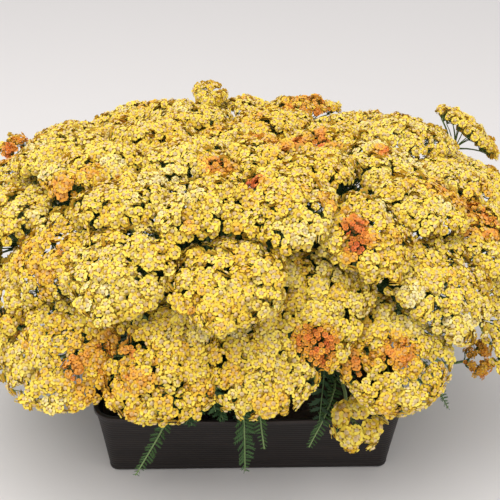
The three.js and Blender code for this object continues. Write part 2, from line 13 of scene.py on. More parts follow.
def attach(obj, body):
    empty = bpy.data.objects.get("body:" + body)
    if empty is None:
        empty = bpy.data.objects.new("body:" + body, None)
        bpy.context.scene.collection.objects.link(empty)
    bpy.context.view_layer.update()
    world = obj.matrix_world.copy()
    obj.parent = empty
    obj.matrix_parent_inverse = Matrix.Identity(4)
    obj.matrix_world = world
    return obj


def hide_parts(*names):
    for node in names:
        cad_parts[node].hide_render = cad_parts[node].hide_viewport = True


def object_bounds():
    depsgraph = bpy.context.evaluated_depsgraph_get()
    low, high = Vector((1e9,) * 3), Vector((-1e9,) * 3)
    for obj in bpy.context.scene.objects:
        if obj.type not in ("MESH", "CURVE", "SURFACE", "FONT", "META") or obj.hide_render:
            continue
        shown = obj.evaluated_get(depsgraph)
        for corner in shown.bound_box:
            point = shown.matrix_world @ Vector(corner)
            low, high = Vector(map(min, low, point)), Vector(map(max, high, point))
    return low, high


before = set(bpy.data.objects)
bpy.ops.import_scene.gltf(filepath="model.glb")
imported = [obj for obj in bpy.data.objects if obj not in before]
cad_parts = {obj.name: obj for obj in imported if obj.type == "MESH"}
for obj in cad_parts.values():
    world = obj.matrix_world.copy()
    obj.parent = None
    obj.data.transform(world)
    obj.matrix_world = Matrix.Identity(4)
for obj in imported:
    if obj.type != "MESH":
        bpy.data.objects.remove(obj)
cad_low, cad_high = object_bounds()

MM = 0.001
MAP = "OFBake"  # the map whose u picks a tone and whose v picks the part of a floret or leaf

# The pot and the crowns, as in the part's source
pot_height = 80
pot_rim_width = 314
pot_rim_depth = 320
pot_taper = 8.5
pot_wall = 3
pot_floor = 3
pot_corner = 20
least_corner = 6
pot_bow = 9
foot_band = 7
foot_round = 4  # radius of the rounded bottom edge
lip_height = 5
lip_out = 1.5
ridge_pitch = 3.4  # of the fine level ridges on the walls
ridge_depth = 0.35
highlight_heights = (0.0775, 0.0797)  # in metres, between which the painted highlight along the top edge sets in
corner_steps = 7
side_steps = 9
soil_top = 66
soil_gap = 0.7
crown_radius = 14
crown_rise = 8
crown_step_x = 130
crown_step_y = 140
clearance = 0.35
seat_gap = 0.1

# Stems and leaves, as in the part's source
stem_straight = 34
stem_out = 0.45
stem_up = 0.62
foot_share = 0.6
plant_share_x = 0.44
plant_share_y = 0.62
stray_stems = {
    "lone_head": [[90, -156, 116], [93, -175, 102]],
    "low_left_head": [[-162, -74, 96], [-214, -72, 92]],
    "left_orange_head": [[-236, 64, 226]],
    "top_small_head": [[-40, 122, 282]],
    "right_side_head": [[222, 88, 214]],
    "right_bud_head": [[170, -90, 112], [222, -66, 74]],
}
front_leaves = [
    ([[-72, -146, 104], [-84, -173, 84]], [-114, -192, 34], 15),
    ([[-12, -148, 110], [-8, -175, 92]], [-6, -186, 32], 15),
    ([[14, -148, 104], [8, -172, 98]], [12, -192, 66], 10),
    ([[84, -146, 112], [74, -173, 98]], [56, -188, 64], 12),
]
front_leaf_shares = (0.62, 0.85, 0.9, 0.85)  # of those widths that the leaflets reach
outer_leaf_count = 9
outer_leaf_start = -0.25 * math.pi
outer_leaf_span = 1.5 * math.pi
outer_leaf_turn_spread = 0.06
outer_leaf_width = 13
outer_leaf_stops = [(2, 102, 6), (34, 94, 8), (62, 68, 20)]  # distance from the rim, height, its spread
outer_leaf_tip_spread = 14
leaf_seed = 6
blade_length = 88
least_stalk = 30
leaf_root_out = 7

# Leaves that the solids leave out, and thicknesses
stem_radii = (2.1, 1.5)
stem_leaves = 3  # on each stem
stem_leaf_reach = (95, 140)
stem_leaf_width = 19
stem_leaf_turn = 2.4  # most that a stem's leaf turns away from the middle of the dome
leaves_within = (262, 192, 258)  # from the pot's middle, for the tips of the stems' leaves
high_leaves = 4  # on each stem, close under its head
high_leaf_reach = (70, 118)
high_leaf_width = 15
high_leaf_lowest = 170  # height of such a leaf's tip
crown_leaves = 20  # round each crown
crown_leaf_reach = (85, 135)
crown_leaf_width = 16
rim_leaves = 9  # short leaves that lie over the front rim
rim_leaf_span = (-96, -14)
rim_leaf_blade = 46
rim_leaf_width = 12
front_leaf_pairs = 24
front_leaf_stalk = 1.8
leaf_stalk = 1.25  # radius of a leaf's stalk at its root
branch_radii = (0.95, 0.6)
pedicel_radius = 0.42

# Soil
crumb_count = 900
crumb_radii = (0.7, 2.6)
crumb_turn = 6.28
crumb_border = 16  # between the crumbs and the trough's outside
soil_rings = 18
soil_roughness = (-1.6, 1.5)

# Florets
calyx_depth = 3.4
cup_drop = 1.4  # of the cup's rim under the disc
open_area = 34  # of a head's top for each open floret, in square millimetres
bud_area = 20.0
grid_step = 2.5  # of the field that holds the shape of a head's top
smoothing = 2  # reach of the field's smoothing, in steps
samples_for_each = 12  # random places that share themselves out among the florets, per floret
even_rounds = 9  # rounds of that sharing, which spaces the florets evenly
fork_florets = 11  # florets on one fork, which form one small cushion of the head
cushion_rise = 3.6
cushion_lean = 0.5
cushion_lift = 3  # most that a cushion as a whole stands over or under the top
cushion_pull = 0.04  # share of its distance by which a floret moves to the middle of its cushion
rim_pull = 0.2  # the same at the rim, where it scallops the outline
open_pull = 0.26  # the same on heads whose cushions stand apart
open_heads = ("lone_head", "low_left_head", "right_bud_head", "left_orange_head")
rim_reach = 11  # width of the rim where the florets turn outwards
rim_lean = 0.45
rim_rise = 0.6
rim_push = 5  # outwards
skirt_gap = 6.2  # between the florets that hang under the rim
open_skirt = 1.9  # times that gap on heads whose cushions stand apart
skirt_drop = 4.6
skirt_out = 3.4
small_heads = ("lone_head", "low_left_head", "right_bud_head", "left_orange_head", "top_small_head")
small_share = 0.3  # of the push and the skirt on small heads, which are thin and flat
floret_scales = {"lone_head": 1.3}  # heads whose florets are larger
fork_counts = {"lone_head": 4}
floret_tilt = 0.32
floret_lift = 1.3
head_tone_spread = 0.02
cushion_tone_spread = 0.06
box_margin = 5.2  # of the florets' middles from the sides of the solids' box
pedicel_drop = 9  # depth of the forks under the florets
seed = 11

# Tones, which are places along the colour ramps: from cream at 0 over yellow to terracotta at 1
usual_tone = 0.3
tone_spread = 0.07

# Patches of other tones: place, radius, tone and the share of florets still in bud
patches = [
    ((-245, 50, 280), 34, 0.68, 1.0),
    ((75, 110, 320), 34, 0.62, 0.7),
    ((25, -15, 315), 40, 0.55, 0.2),
    ((75, -5, 315), 22, 0.6, 0.3),
    ((-35, -90, 315), 20, 0.62, 0.4),
    ((0, -120, 315), 13, 0.8, 0.6),
    ((85, -170, 285), 21, 0.76, 0.9),
    ((185, -100, 300), 26, 0.54, 0.3),
    ((215, -105, 270), 34, 0.62, 0.5),
    ((60, -145, 305), 14, 0.62, 0.3),
    ((50, -215, 205), 23, 0.68, 1.0),
    ((90, -215, 190), 20, 0.62, 0.2),
    ((125, -215, 195), 20, 0.66, 0.4),
    ((-135, -215, 185), 44, 0.52, 0.3),
    ((-180, -105, 305), 24, 0.58, 0.3),
    ((-190, -155, 265), 36, 0.5, 0.2),
    ((-240, -80, 145), 22, 0.74, 0.4),
    ((130, -35, 315), 11, 0.74, 0.5),
    ((240, -90, 95), 60, 0.6, 1.0),
    ((-85, -110, 315), 46, 0.18, 0.0),
    ((-190, -30, 310), 50, 0.26, 0.0),
    ((130, 20, 320), 60, 0.24, 0.0),
    ((165, -45, 300), 30, 0.22, 0.0),
    ((30, -150, 312), 26, 0.24, 0.0),
    ((55, -180, 290), 30, 0.22, 0.0),
]

draw = np.random.default_rng(seed)


def linear(red, green, blue):
    """A colour given as 0 to 255, as the shader's linear values."""
    share = np.array([red, green, blue]) / 255
    value = np.where(share <= 0.04045, share / 12.92, ((share + 0.055) / 1.055) ** 2.4)
    return (*value, 1.0)


def unit(vectors):
    return vectors / np.linalg.norm(vectors, axis=-1, keepdims=True)


def axes_about(normals, turns):
    """For each normal, right-handed axes as rows, the third along the normal, turned about it."""
    helper = np.where(np.abs(normals[:, :1]) < 0.8, [[1.0, 0.0, 0.0]], [[0.0, 1.0, 0.0]])
    first = unit(np.cross(helper, normals))
    second = np.cross(normals, first)
    c, s = np.cos(turns)[:, None], np.sin(turns)[:, None]
    return np.stack([c * first + s * second, c * second - s * first, normals], axis=1)


class Shape:
    """Triangles under construction, with each point's place (u, v) on the map."""

    def __init__(self):
        self.points, self.maps, self.faces, self.count = [], [], [], 0

    def add(self, points, faces, maps):
        self.points.append(np.asarray(points, float))
        self.maps.append(np.broadcast_to(np.asarray(maps, float), (len(points), 2)))
        self.faces.append(np.asarray(faces, int) + self.count)
        self.count += len(points)

    def arrays(self):
        return np.concatenate(self.points), np.concatenate(self.maps), np.concatenate(self.faces)

    def scatter(self, template, at, axes, sizes, tones):
        """Adds copies of a template, each with its place, axes, sizes along them, and tone."""
        if len(at) == 0:
            return
        points, maps, faces = template.arrays()
        placed = at[:, None] + (points[None] * sizes[:, None, :]) @ axes
        moved = np.repeat(maps[None], len(at), 0)
        moved[..., 0] += tones[:, None]
        numbered = faces[None] + (np.arange(len(at)) * len(points))[:, None, None]
        self.add(placed.reshape(-1, 3), numbered.reshape(-1, 3), moved.reshape(-1, 2))

    def tube(self, path, radii, sides, maps):
        """Adds a round tube along a path, with closed ends."""
        along = unit(np.gradient(path, axis=0))
        helper = [1.0, 0.0, 0.0] if abs(along[0][0]) < 0.8 else [0.0, 1.0, 0.0]
        normal = unit(np.cross(helper, along[0]))
        rings = []
        turns = 2 * math.pi * np.arange(sides) / sides
        for centre, way, radius in zip(path, along, radii):
            normal = unit(normal - way * (normal @ way))
            other = np.cross(way, normal)
            ring = np.cos(turns)[:, None] * normal + np.sin(turns)[:, None] * other
            rings.append(centre + radius * ring)
        points = np.concatenate([*rings, path[:1], path[-1:]])
        faces = skin(len(path), sides)
        first, last = len(points) - 2, len(points) - 1
        start = (len(path) - 1) * sides
        for i in range(sides):
            faces.append([(i + 1) % sides, i, first])
            faces.append([start + i, start + (i + 1) % sides, last])
        self.add(points, faces, maps)


def skin(rings, sides):
    """Triangles between rings of equal length."""
    faces = []
    for r in range(rings - 1):
        for i in range(sides):
            a, b = r * sides + i, r * sides + (i + 1) % sides
            faces += [[a, b, b + sides], [a, b + sides, a + sides]]
    return faces


def make_piece(name, shape, material, nodes, smooth=True):
    """Turns a shape into a Blender object that rides on the part and stands for some of its nodes."""
    points, maps, faces = shape.arrays()
    mesh = bpy.data.meshes.new(name)
    mesh.vertices.add(len(points))
    mesh.vertices.foreach_set("co", (points * MM).astype(np.float32).ravel())
    mesh.loops.add(faces.size)
    mesh.loops.foreach_set("vertex_index", faces.astype(np.int32).ravel())
    mesh.polygons.add(len(faces))
    mesh.polygons.foreach_set("loop_start", np.arange(0, faces.size, 3, dtype=np.int32))
    mesh.polygons.foreach_set("use_smooth", np.full(len(faces), smooth))
    layer = mesh.uv_layers.new(name=MAP)
    layer.data.foreach_set("uv", maps[faces.ravel()].astype(np.float32).ravel())
    mesh.update(calc_edges=True)
    mesh.materials.append(material)
    piece = bpy.data.objects.new(name, mesh)
    bpy.context.scene.collection.objects.link(piece)
    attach(piece, "root")
    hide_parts(*nodes)
    return piece


# Materials

def new_material(name, roughness):
    material = bpy.data.materials.new(name)
    material.use_nodes = True
    tree = material.node_tree
    shader = tree.nodes["Principled BSDF"]
    shader.inputs["Roughness"].default_value = roughness
    return material, tree, shader


def add_ramp(tree, factor, stops):
    """A colour ramp driven by a socket. A stop is a place and a colour."""
    ramp = tree.nodes.new("ShaderNodeValToRGB")
    elements = ramp.color_ramp.elements
    for place, colour in stops[1:-1]:
        elements.new(place).color = colour
    elements[0].position, elements[0].color = stops[0]
    elements[-1].position, elements[-1].color = stops[-1]
    tree.links.new(factor, ramp.inputs["Fac"])
    return ramp.outputs["Color"]


def add_mix(tree, kind, factor, first, second):
    """Mixes two colours. The factor is a socket or a number."""
    mix = tree.nodes.new("ShaderNodeMix")
    mix.data_type = "RGBA"
    mix.blend_type = kind
    if isinstance(factor, float):
        mix.inputs["Factor"].default_value = factor
    else:
        tree.links.new(factor, mix.inputs["Factor"])
    tree.links.new(first, mix.inputs["A"])
    tree.links.new(second, mix.inputs["B"])
    return mix.outputs["Result"]


def add_above(tree, value, level):
    """1 where the value is above the level, and else 0."""
    above = tree.nodes.new("ShaderNodeMath")
    above.operation = "GREATER_THAN"
    above.inputs[1].default_value = level
    tree.links.new(value, above.inputs[0])
    return above.outputs["Value"]


def add_noise(tree, scale, detail, coordinates):
    noise = tree.nodes.new("ShaderNodeTexNoise")
    noise.inputs["Scale"].default_value = scale
    noise.inputs["Detail"].default_value = detail
    tree.links.new(coordinates, noise.inputs["Vector"])
    return noise.outputs["Fac"]


def add_bump(tree, shader, height, strength, distance):
    bump = tree.nodes.new("ShaderNodeBump")
    bump.inputs["Strength"].default_value = strength
    bump.inputs["Distance"].default_value = distance
    tree.links.new(height, bump.inputs["Height"])
    tree.links.new(bump.outputs["Normal"], shader.inputs["Normal"])


def map_sockets(tree):
    """The tone u and the part v of the map."""
    place = tree.nodes.new("ShaderNodeUVMap")
    place.uv_map = MAP
    parts = tree.nodes.new("ShaderNodeSeparateXYZ")
    tree.links.new(place.outputs["UV"], parts.inputs["Vector"])
    return parts.outputs["X"], parts.outputs["Y"]


def floret_material():
    """Petals over v 0.6 to 1, discs over 0.32 to 0.58, cups over 0.2 to 0.3 and green stalks below."""
    material, tree, shader = new_material("florets", 0.62)
    tone, part = map_sockets(tree)
    petals = add_ramp(tree, tone, [
        (0.0, linear(248, 241, 190)),
        (0.14, linear(247, 230, 122)),
        (0.28, linear(246, 225, 84)),
        (0.42, linear(243, 211, 60)),
        (0.56, linear(238, 180, 54)),
        (0.7, linear(238, 158, 60)),
        (0.85, linear(232, 126, 56)),
        (1.0, linear(206, 84, 44)),
    ])
    discs = add_ramp(tree, tone, [
        (0.0, linear(232, 220, 176)),
        (0.3, linear(228, 202, 150)),
        (0.5, linear(226, 190, 124)),
        (0.65, linear(230, 166, 84)),
        (0.85, linear(226, 128, 60)),
        (1.0, linear(186, 84, 46)),
    ])
    cups = add_ramp(tree, tone, [
        (0.0, linear(226, 196, 84)),
        (0.4, linear(224, 178, 58)),
        (0.7, linear(212, 132, 48)),
        (1.0, linear(130, 70, 44)),
    ])
    stalks = add_ramp(tree, tone, [
        (0.0, linear(104, 134, 74)),
        (0.5, linear(112, 138, 70)),
        (1.0, linear(126, 96, 56)),
    ])
    # Painted shade, with some tint: every part of a floret is darkened towards its base, as if in the depth of
    # the head. The petals darken towards the disc, the disc in its middle, and the cups and stalks lower down.
    # The petals' bases also turn golden.
    painted_shade_and_tint = add_ramp(tree, part, [
        (0.0, linear(220, 220, 220)),
        (0.2, linear(255, 255, 255)),
        (0.21, linear(220, 220, 190)),
        (0.29, linear(255, 255, 255)),
        (0.33, linear(200, 196, 176)),
        (0.5, linear(255, 250, 246)),
        (0.58, linear(250, 240, 226)),
        (0.6, linear(234, 208, 136)),
        (0.8, linear(252, 246, 222)),
        (1.0, linear(255, 255, 255)),
    ])
    under = add_mix(tree, "MIX", add_above(tree, part, 0.2), stalks, cups)
    lower = add_mix(tree, "MIX", add_above(tree, part, 0.31), under, discs)
    colour = add_mix(tree, "MIX", add_above(tree, part, 0.59), lower, petals)
    shaded = add_mix(tree, "MULTIPLY", 1.0, colour, painted_shade_and_tint)
    tree.links.new(shaded, shader.inputs["Base Color"])
    return material


def foliage_material():
    """Leaves and stems: u picks the green, v runs from the tips of the lobes at 0 to the stalks at 1."""
    material, tree, shader = new_material("foliage", 0.6)
    tone, part = map_sockets(tree)
    greens = add_ramp(tree, tone, [
        (0.0, linear(34, 62, 30)),
        (0.35, linear(48, 84, 38)),
        (0.7, linear(74, 110, 52)),
        (1.0, linear(104, 136, 72)),
    ])
    stalks = add_ramp(tree, tone, [
        (0.0, linear(84, 112, 62)),
        (0.5, linear(118, 146, 86)),
        (1.0, linear(156, 174, 116)),
    ])
    towards_stalk = add_ramp(tree, part, [(0.55, (0, 0, 0, 1)), (0.9, (1, 1, 1, 1))])
    colour = add_mix(tree, "MIX", towards_stalk, greens, stalks)
    tree.links.new(colour, shader.inputs["Base Color"])
    return material


def pot_material():
    """Near-black moulded plastic with faint streaks and a painted highlight that pales its top edge."""
    material, tree, shader = new_material("black_plastic", 0.42)
    shader.inputs["Specular IOR Level"].default_value = 0.3
    place = tree.nodes.new("ShaderNodeTexCoord")
    stretch = tree.nodes.new("ShaderNodeMapping")
    stretch.inputs["Scale"].default_value = (1.0, 1.0, 6.0)
    tree.links.new(place.outputs["Object"], stretch.inputs["Vector"])
    streaks = add_noise(tree, 14.0, 6.0, stretch.outputs["Vector"])
    colour = add_ramp(tree, streaks, [
        (0.3, linear(24, 19, 17)),
        (0.55, linear(30, 24, 22)),
        (0.8, linear(40, 33, 30)),
    ])
    height = tree.nodes.new("ShaderNodeSeparateXYZ")
    tree.links.new(place.outputs["Object"], height.inputs["Vector"])
    # Painted highlight: the top two millimetres of the trough are paled towards a lighter, streaked colour.
    highlight_from, highlight_to = highlight_heights
    rim_highlight = add_ramp(tree, height.outputs["Z"], [
        (highlight_from, linear(0, 0, 0)),
        (highlight_to, linear(150, 150, 150)),
    ])
    highlight_colour = add_ramp(tree, streaks, [(0.3, linear(84, 70, 65)), (0.7, linear(128, 110, 102))])
    colour = add_mix(tree, "MIX", rim_highlight, colour, highlight_colour)
    tree.links.new(colour, shader.inputs["Base Color"])
    grain = add_noise(tree, 900.0, 3.0, place.outputs["Object"])
    add_bump(tree, shader, grain, 0.12, 0.0004)
    return material


def soil_material():
    material, tree, shader = new_material("soil", 0.95)
    place = tree.nodes.new("ShaderNodeTexCoord")
    clumps = add_noise(tree, 90.0, 8.0, place.outputs["Object"])
    colour = add_ramp(tree, clumps, [
        (0.3, linear(34, 25, 19)),
        (0.55, linear(58, 43, 32)),
        (0.75, linear(92, 72, 54)),
    ])
    tree.links.new(colour, shader.inputs["Base Color"])
    add_bump(tree, shader, clumps, 0.6, 0.002)
    return material


# Florets, in millimetres round the middle of the disc, facing along Z

def add_petals(shape, count, root, length, width, rise, curl, ruffle):
    """Rounded petals with a notched tip. Rise lifts their middle, and curl lowers their tip."""
    for k in range(count):
        turn = 2 * math.pi * (k + draw.uniform(-0.12, 0.12)) / count
        long = length * draw.uniform(0.88, 1.1)
        half = width * draw.uniform(0.92, 1.1) / 2
        lift = rise + draw.uniform(-ruffle, ruffle)
        tip = lift - curl + draw.uniform(-ruffle, ruffle)
        outline = [
            (root, 0.0, 0.0, 0.61),
            (root + 0.5 * long, half, lift, 0.82),
            (root + 0.96 * long, 0.66 * half, tip, 0.98),
            (root + 0.88 * long, 0.0, tip + 0.3, 0.93),
            (root + 0.96 * long, -0.66 * half, tip, 0.98),
            (root + 0.5 * long, -half, lift, 0.82),
            (root + 0.5 * long, 0.0, lift - 0.35, 0.76),
        ]
        way = np.array([math.cos(turn), math.sin(turn)])
        side = np.array([-way[1], way[0]])
        points = [[*(out * way + across * side), up] for out, across, up, _ in outline]
        maps = [[0.016 * across / half, part] for _, across, _, part in outline]
        rim = len(outline) - 1
        shape.add(points, [[i, (i + 1) % rim, rim] for i in range(rim)], maps)


def add_disc(shape, radius, height, bumps):
    """The domed middle of a floret, with a ring of small bumps."""
    points, maps = [[0, 0, height]], [[0, 0.34]]
    for ring, (share, up, part) in enumerate([(0.6, 0.9, 0.44), (1.0, 0.1, 0.57)]):
        for k in range(bumps):
            turn = 2 * math.pi * (k + 0.5 * ring) / bumps
            points.append([radius * share * math.cos(turn), radius * share * math.sin(turn), height * up])
            maps.append([0.02 * math.cos(turn), part])
    faces = [[0, 1 + k, 1 + (k + 1) % bumps] for k in range(bumps)]
    for k in range(bumps):
        a, b = 1 + k, 1 + (k + 1) % bumps
        c, d = 1 + bumps + k, 1 + bumps + (k + 1) % bumps
        faces += [[a, c, b], [b, c, d]]
    shape.add(points, faces, maps)


def add_calyx(shape, radius, depth):
    """The cup under a floret: golden at its rim, and green down to its stalk."""
    sides = 5
    points, maps = [[0, 0, -depth]], [[0, 0.14]]
    for k in range(sides):
        turn = 2 * math.pi * (k + 0.5) / sides
        points.append([radius * math.cos(turn), radius * math.sin(turn), -cup_drop])
        maps.append([0.015 * math.cos(turn), 0.29])
    shape.add(points, [[0, 1 + (k + 1) % sides, 1 + k] for k in range(sides)], maps)


def open_floret(petals):
    shape = Shape()
    add_petals(shape, petals, root=1.45, length=3.35, width=23.0 / petals, rise=0.4, curl=0.7, ruffle=1.0)
    add_disc(shape, radius=2.05, height=1.5, bumps=6)
    add_calyx(shape, radius=5.3, depth=calyx_depth)
    return shape


def bud_floret(petals):
    shape = Shape()
    add_petals(shape, petals, root=0.9, length=1.9, width=13.0 / petals, rise=1.1, curl=-0.2, ruffle=0.4)
    add_disc(shape, radius=1.2, height=1.0, bumps=4)
    add_calyx(shape, radius=2.9, depth=calyx_depth)
    return shape


def stalk_template():
    """A thin three-sided stalk of length and radius 1, from the origin up along Z."""
    shape = Shape()
    ring = [[math.cos(a), math.sin(a)] for a in (0, 2 * math.pi / 3, 4 * math.pi / 3)]
    points = [[*p, 0] for p in ring] + [[*p, 1] for p in ring]
    maps = [[0.01 * p[0], 0.1] for p in ring] + [[0.01 * p[0], 0.18] for p in ring]
    shape.add(points, skin(2, 3), maps)
    return shape


# Heads

def solid_of(name):
    """A node's points, with those at one place merged, and its triangles."""
    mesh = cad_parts[name].data
    mesh.calc_loop_triangles()
    points = np.empty(len(mesh.vertices) * 3, np.float32)
    corners = np.empty(len(mesh.loop_triangles) * 3, np.int32)
    mesh.vertices.foreach_get("co", points)
    mesh.loop_triangles.foreach_get("vertices", corners)
    points = points.reshape(-1, 3).astype(float) / MM
    _, first, place = np.unique(np.round(points, 2), axis=0, return_index=True, return_inverse=True)
    return points[first], place.ravel()[corners].reshape(-1, 3)


def blurred(values, inside, reach):
    """A field averaged within reach steps each way, over its inside alone."""
    total, weight = values * inside, inside.astype(float)
    for axis in (0, 1):
        total = sum(np.roll(total, shift, axis) for shift in range(-reach, reach + 1))
        weight = sum(np.roll(weight, shift, axis) for shift in range(-reach, reach + 1))
    return total / np.maximum(weight, 1e-9)


class Head:
    """A flower head as its solid gives it: its stems' seats, the way it faces, and its smoothed top."""

    def __init__(self, name):
        self.name = name
        self.points, self.faces = solid_of(name)
        self.find_seats()
        self.read_top()

    def find_seats(self):
        """The underside's tips have the largest fans of faces round them. A fused pair has two."""
        sides = self.points[self.faces]
        areas = np.cross(sides[:, 1] - sides[:, 0], sides[:, 2] - sides[:, 0]) / 2
        fans, sizes = np.zeros((len(self.points), 3)), np.zeros(len(self.points))
        for corner in range(3):
            np.add.at(fans, self.faces[:, corner], areas)
            np.add.at(sizes, self.faces[:, corner], np.linalg.norm(areas, axis=1))
        order = np.argsort(-sizes)
        found = [order[0]]
        if sizes[order[1]] > 0.4 * sizes[order[0]]:
            found.append(order[1])
        self.face = -unit(fans[found].sum(0))
        self.seats = self.points[found]
        self.unders = []
        for tip in found:
            near = np.unique(self.faces[(self.faces == tip).any(1)])
            self.unders.append(((self.points[near] - self.points[tip]) @ self.face).max())

    def read_top(self):
        """Reads the height of the top over a grid in the rim's plane, by rays against the face."""
        self.axes = axes_about(self.face[None], np.zeros(1))[0]
        self.middle = self.seats.mean(0) + self.face * np.mean(self.unders)
        flat = (self.points - self.middle) @ self.axes[:2].T
        border = 3 * grid_step
        self.low = flat.min(0) - border
        counts = np.ceil((flat.max(0) + border - self.low) / grid_step).astype(int)
        tree = BVHTree.FromPolygons(self.points.tolist(), self.faces.tolist())
        over = 80
        inside = np.zeros(counts, bool)
        heights = np.zeros(counts)
        down = (-self.face).tolist()
        for i in range(counts[0]):
            for j in range(counts[1]):
                x, y = self.low + np.array([i, j]) * grid_step
                start = self.middle + x * self.axes[0] + y * self.axes[1] + over * self.face
                hit, _, _, distance = tree.ray_cast(start.tolist(), down)
                if hit is not None:
                    inside[i, j] = True
                    heights[i, j] = over - distance
        self.heights = blurred(blurred(heights, inside, smoothing), inside, 1)
        self.slopes = np.stack(np.gradient(self.heights, grid_step), axis=-1)
        self.cells = np.argwhere(inside)
        outside = np.argwhere(~inside)
        distances = np.linalg.norm(self.cells[:, None] - outside[None], axis=2).min(1) * grid_step
        self.rim_distances = np.zeros(counts)
        self.rim_distances[tuple(self.cells.T)] = distances
        inwards = np.stack(np.gradient(blurred(self.rim_distances, np.ones(counts, bool), 1)), axis=-1)
        self.inwards = inwards / np.maximum(np.linalg.norm(inwards, axis=-1, keepdims=True), 1e-6)

    def at(self, field, flat):
        """A field's values at places in the rim's plane."""
        cell = np.round((flat - self.low) / grid_step).astype(int)
        cell = np.clip(cell, 0, np.array(self.heights.shape) - 1)
        return field[tuple(cell.T)]

    def lifted(self, flat):
        """Points on the smoothed top over places in the rim's plane, and its normals there."""
        height, slope = self.at(self.heights, flat), self.at(self.slopes, flat)
        points = self.middle + flat @ self.axes[:2] + height[:, None] * self.face
        normals = unit(self.face - slope[:, :1] * self.axes[0] - slope[:, 1:] * self.axes[1])
        return points, normals


def tone_at(points):
    """Each point's tone and its chance of being in bud, from the patches near it."""
    tone = np.full(len(points), usual_tone)
    young = np.zeros(len(points))
    for place, radius, patch_tone, patch_young in patches:
        near = np.clip(1 - (np.linalg.norm(points - np.array(place), axis=1) / radius) ** 2, 0, 1)
        near = np.minimum(1.6 * near, 1)
        tone += near * (patch_tone - tone)
        young += near * (patch_young - young)
    return tone, young


def shared_out(samples, count, rounds):
    """Evenly spaced places among samples: each moves to the middle of the samples nearest to it."""
    places = samples[:count].copy()
    for _ in range(rounds):
        owner = ((samples[:, None] - places[None]) ** 2).sum(2).argmin(1)
        shares = np.bincount(owner, minlength=count)
        for axis in (0, 1):
            sums = np.bincount(owner, samples[:, axis], count)
            places[:, axis] = np.where(shares > 0, sums / np.maximum(shares, 1), places[:, axis])
    owner = ((samples[:, None] - places[None]) ** 2).sum(2).argmin(1)
    return places, owner


def place_top(head):
    """Florets over a head's top: their places, normals, tones, who is in bud, and their forks."""
    flat = head.low + head.cells * grid_step
    _, young = tone_at(head.lifted(flat)[0])
    scale = floret_scales.get(head.name, 1.0)
    weight = 1 / (open_area + young * (bud_area - open_area)) / scale**2
    count = int(weight.sum() * grid_step**2)
    picked = draw.choice(len(flat), size=samples_for_each * count, p=weight / weight.sum())
    samples = flat[picked] + draw.uniform(-0.5, 0.5, (len(picked), 2)) * grid_step
    flat, _ = shared_out(samples, count, even_rounds)
    forks, owner = shared_out(flat, fork_counts.get(head.name, max(3, count // fork_florets)), even_rounds)
    reach = np.sqrt(count * open_area * scale**2 / len(forks) / math.pi)
    share = (flat - forks[owner]) / reach
    rim = np.clip(1 - head.at(head.rim_distances, flat) / rim_reach, 0, 1)[:, None]
    pull = open_pull if head.name in open_heads else cushion_pull + rim_pull * rim
    flat = flat - pull * reach * share
    points, normals = head.lifted(flat)
    tone, young = tone_at(points)
    tone += draw.normal(0, cushion_tone_spread, len(forks))[owner] + draw.normal(0, head_tone_spread)
    bud = draw.random(count) < young
    lift = draw.uniform(-cushion_lift, cushion_lift, len(forks))[owner]
    cushion = lift + cushion_rise * (0.5 - (share**2).sum(1))
    out = -head.at(head.inwards, flat)
    push = rim_push * (small_share if head.name in small_heads else 1)
    points += (cushion[:, None] + rim_rise * rim**2) * normals + push * rim * (out @ head.axes[:2])
    lean = cushion_lean * share + rim_lean * rim * out
    return points, unit(normals + lean @ head.axes[:2]), tone, bud, owner


def place_skirt(head):
    """Florets that hang under a head's rim and face outwards."""
    scale = floret_scales.get(head.name, 1.0)
    edge = head.low + head.cells[head.rim_distances[tuple(head.cells.T)] < 1.1 * grid_step] * grid_step
    edge = edge[draw.permutation(len(edge))]
    gap = skirt_gap * scale * (open_skirt if head.name in open_heads else 1)
    kept = []
    for k in range(len(edge)):
        if not kept or ((edge[kept] - edge[k]) ** 2).sum(1).min() > gap**2:
            kept.append(k)
    flat = edge[kept]
    out = -head.at(head.inwards, flat) @ head.axes[:2]
    points, _ = head.lifted(flat)
    tone, young = tone_at(points)
    bud = draw.random(len(flat)) < young
    share = small_share if head.name in small_heads else 1
    points += share * (skirt_out * out - skirt_drop * draw.uniform(0.7, 1.25, (len(flat), 1)) * head.face)
    return points, unit(out + 0.15 * head.face), tone, bud


def add_branches(shape, head, points, feet, owner):
    """Branches from the stem's top to a fork under each group of florets, and a stalk to every floret."""
    for group in np.unique(owner):
        mine = owner == group
        fork = points[mine].mean(0) - head.face * pedicel_drop
        nearest = np.linalg.norm(head.seats - fork, axis=1).argmin()
        seat = head.seats[nearest] - head.face * (clearance + draw.uniform(0, 9))
        fork += 0.1 * (seat - fork)
        bend = seat + 0.42 * (fork - seat) + head.face * 0.12 * np.linalg.norm(fork - seat)
        t = np.linspace(0, 1, 5)[:, None]
        path = (1 - t) ** 2 * seat + 2 * t * (1 - t) * bend + t**2 * fork
        shape.tube(path, np.linspace(*branch_radii, 5), 3, [0.3 + draw.uniform(-0.1, 0.1), 0.12])
        reach = feet[mine] - fork
        lengths = np.linalg.norm(reach, axis=1)
        radii = np.full(len(reach), pedicel_radius)
        sizes = np.stack([radii, radii, lengths], axis=1)
        tones = 0.3 + draw.uniform(-0.1, 0.1, len(reach))
        axes = axes_about(reach / lengths[:, None], np.zeros(len(reach)))
        shape.scatter(stalk, np.repeat(fork[None], len(reach), 0), axes, sizes, tones)


